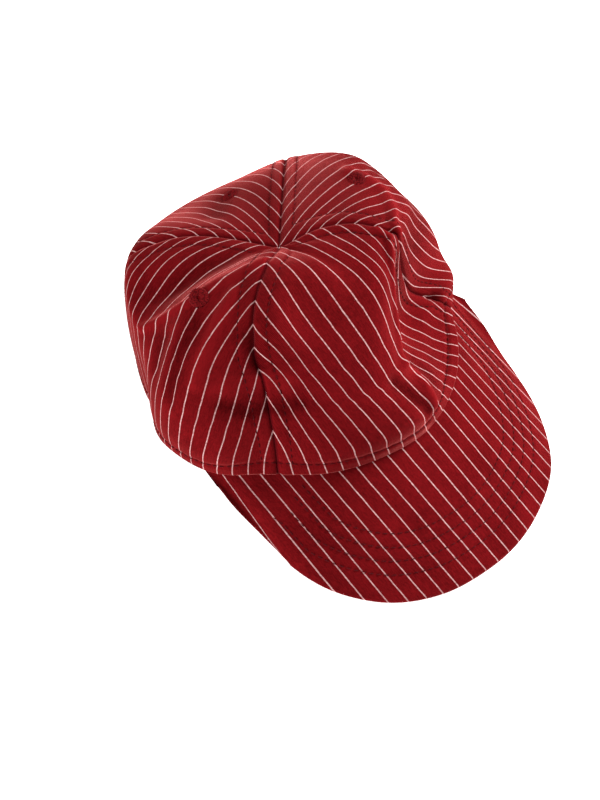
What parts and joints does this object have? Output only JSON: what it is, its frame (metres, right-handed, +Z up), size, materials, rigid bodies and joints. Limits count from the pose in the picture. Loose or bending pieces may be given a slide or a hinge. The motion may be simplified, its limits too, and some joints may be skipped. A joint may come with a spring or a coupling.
{
  "type": "soft cloth cap",
  "caption": "Soft pinstriped cloth cap with a seamed, open crown and a curved peak, resting on its hem and peak.",
  "frame": {"origin": "on the surface that the cap stands on, under the middle of its bounding box", "axes": "+Z up, -Y towards the tip of the peak, +X to the wearer's left"},
  "size_m": [0.1744, 0.2491, 0.0817],
  "materials": {
    "striped_cloth": "matt red cotton twill with thin pale stripes",
    "eyelet_thread": "dark red satin-stitched thread"
  },
  "bodies": {
    "root": {"front_panel": "striped_cloth", "right_panel": "striped_cloth", "back_panel": "striped_cloth", "left_panel": "striped_cloth", "peak": "striped_cloth", "right_eyelet": "eyelet_thread", "back_eyelet": "eyelet_thread", "left_eyelet": "eyelet_thread"}
  },
  "joints": []
}
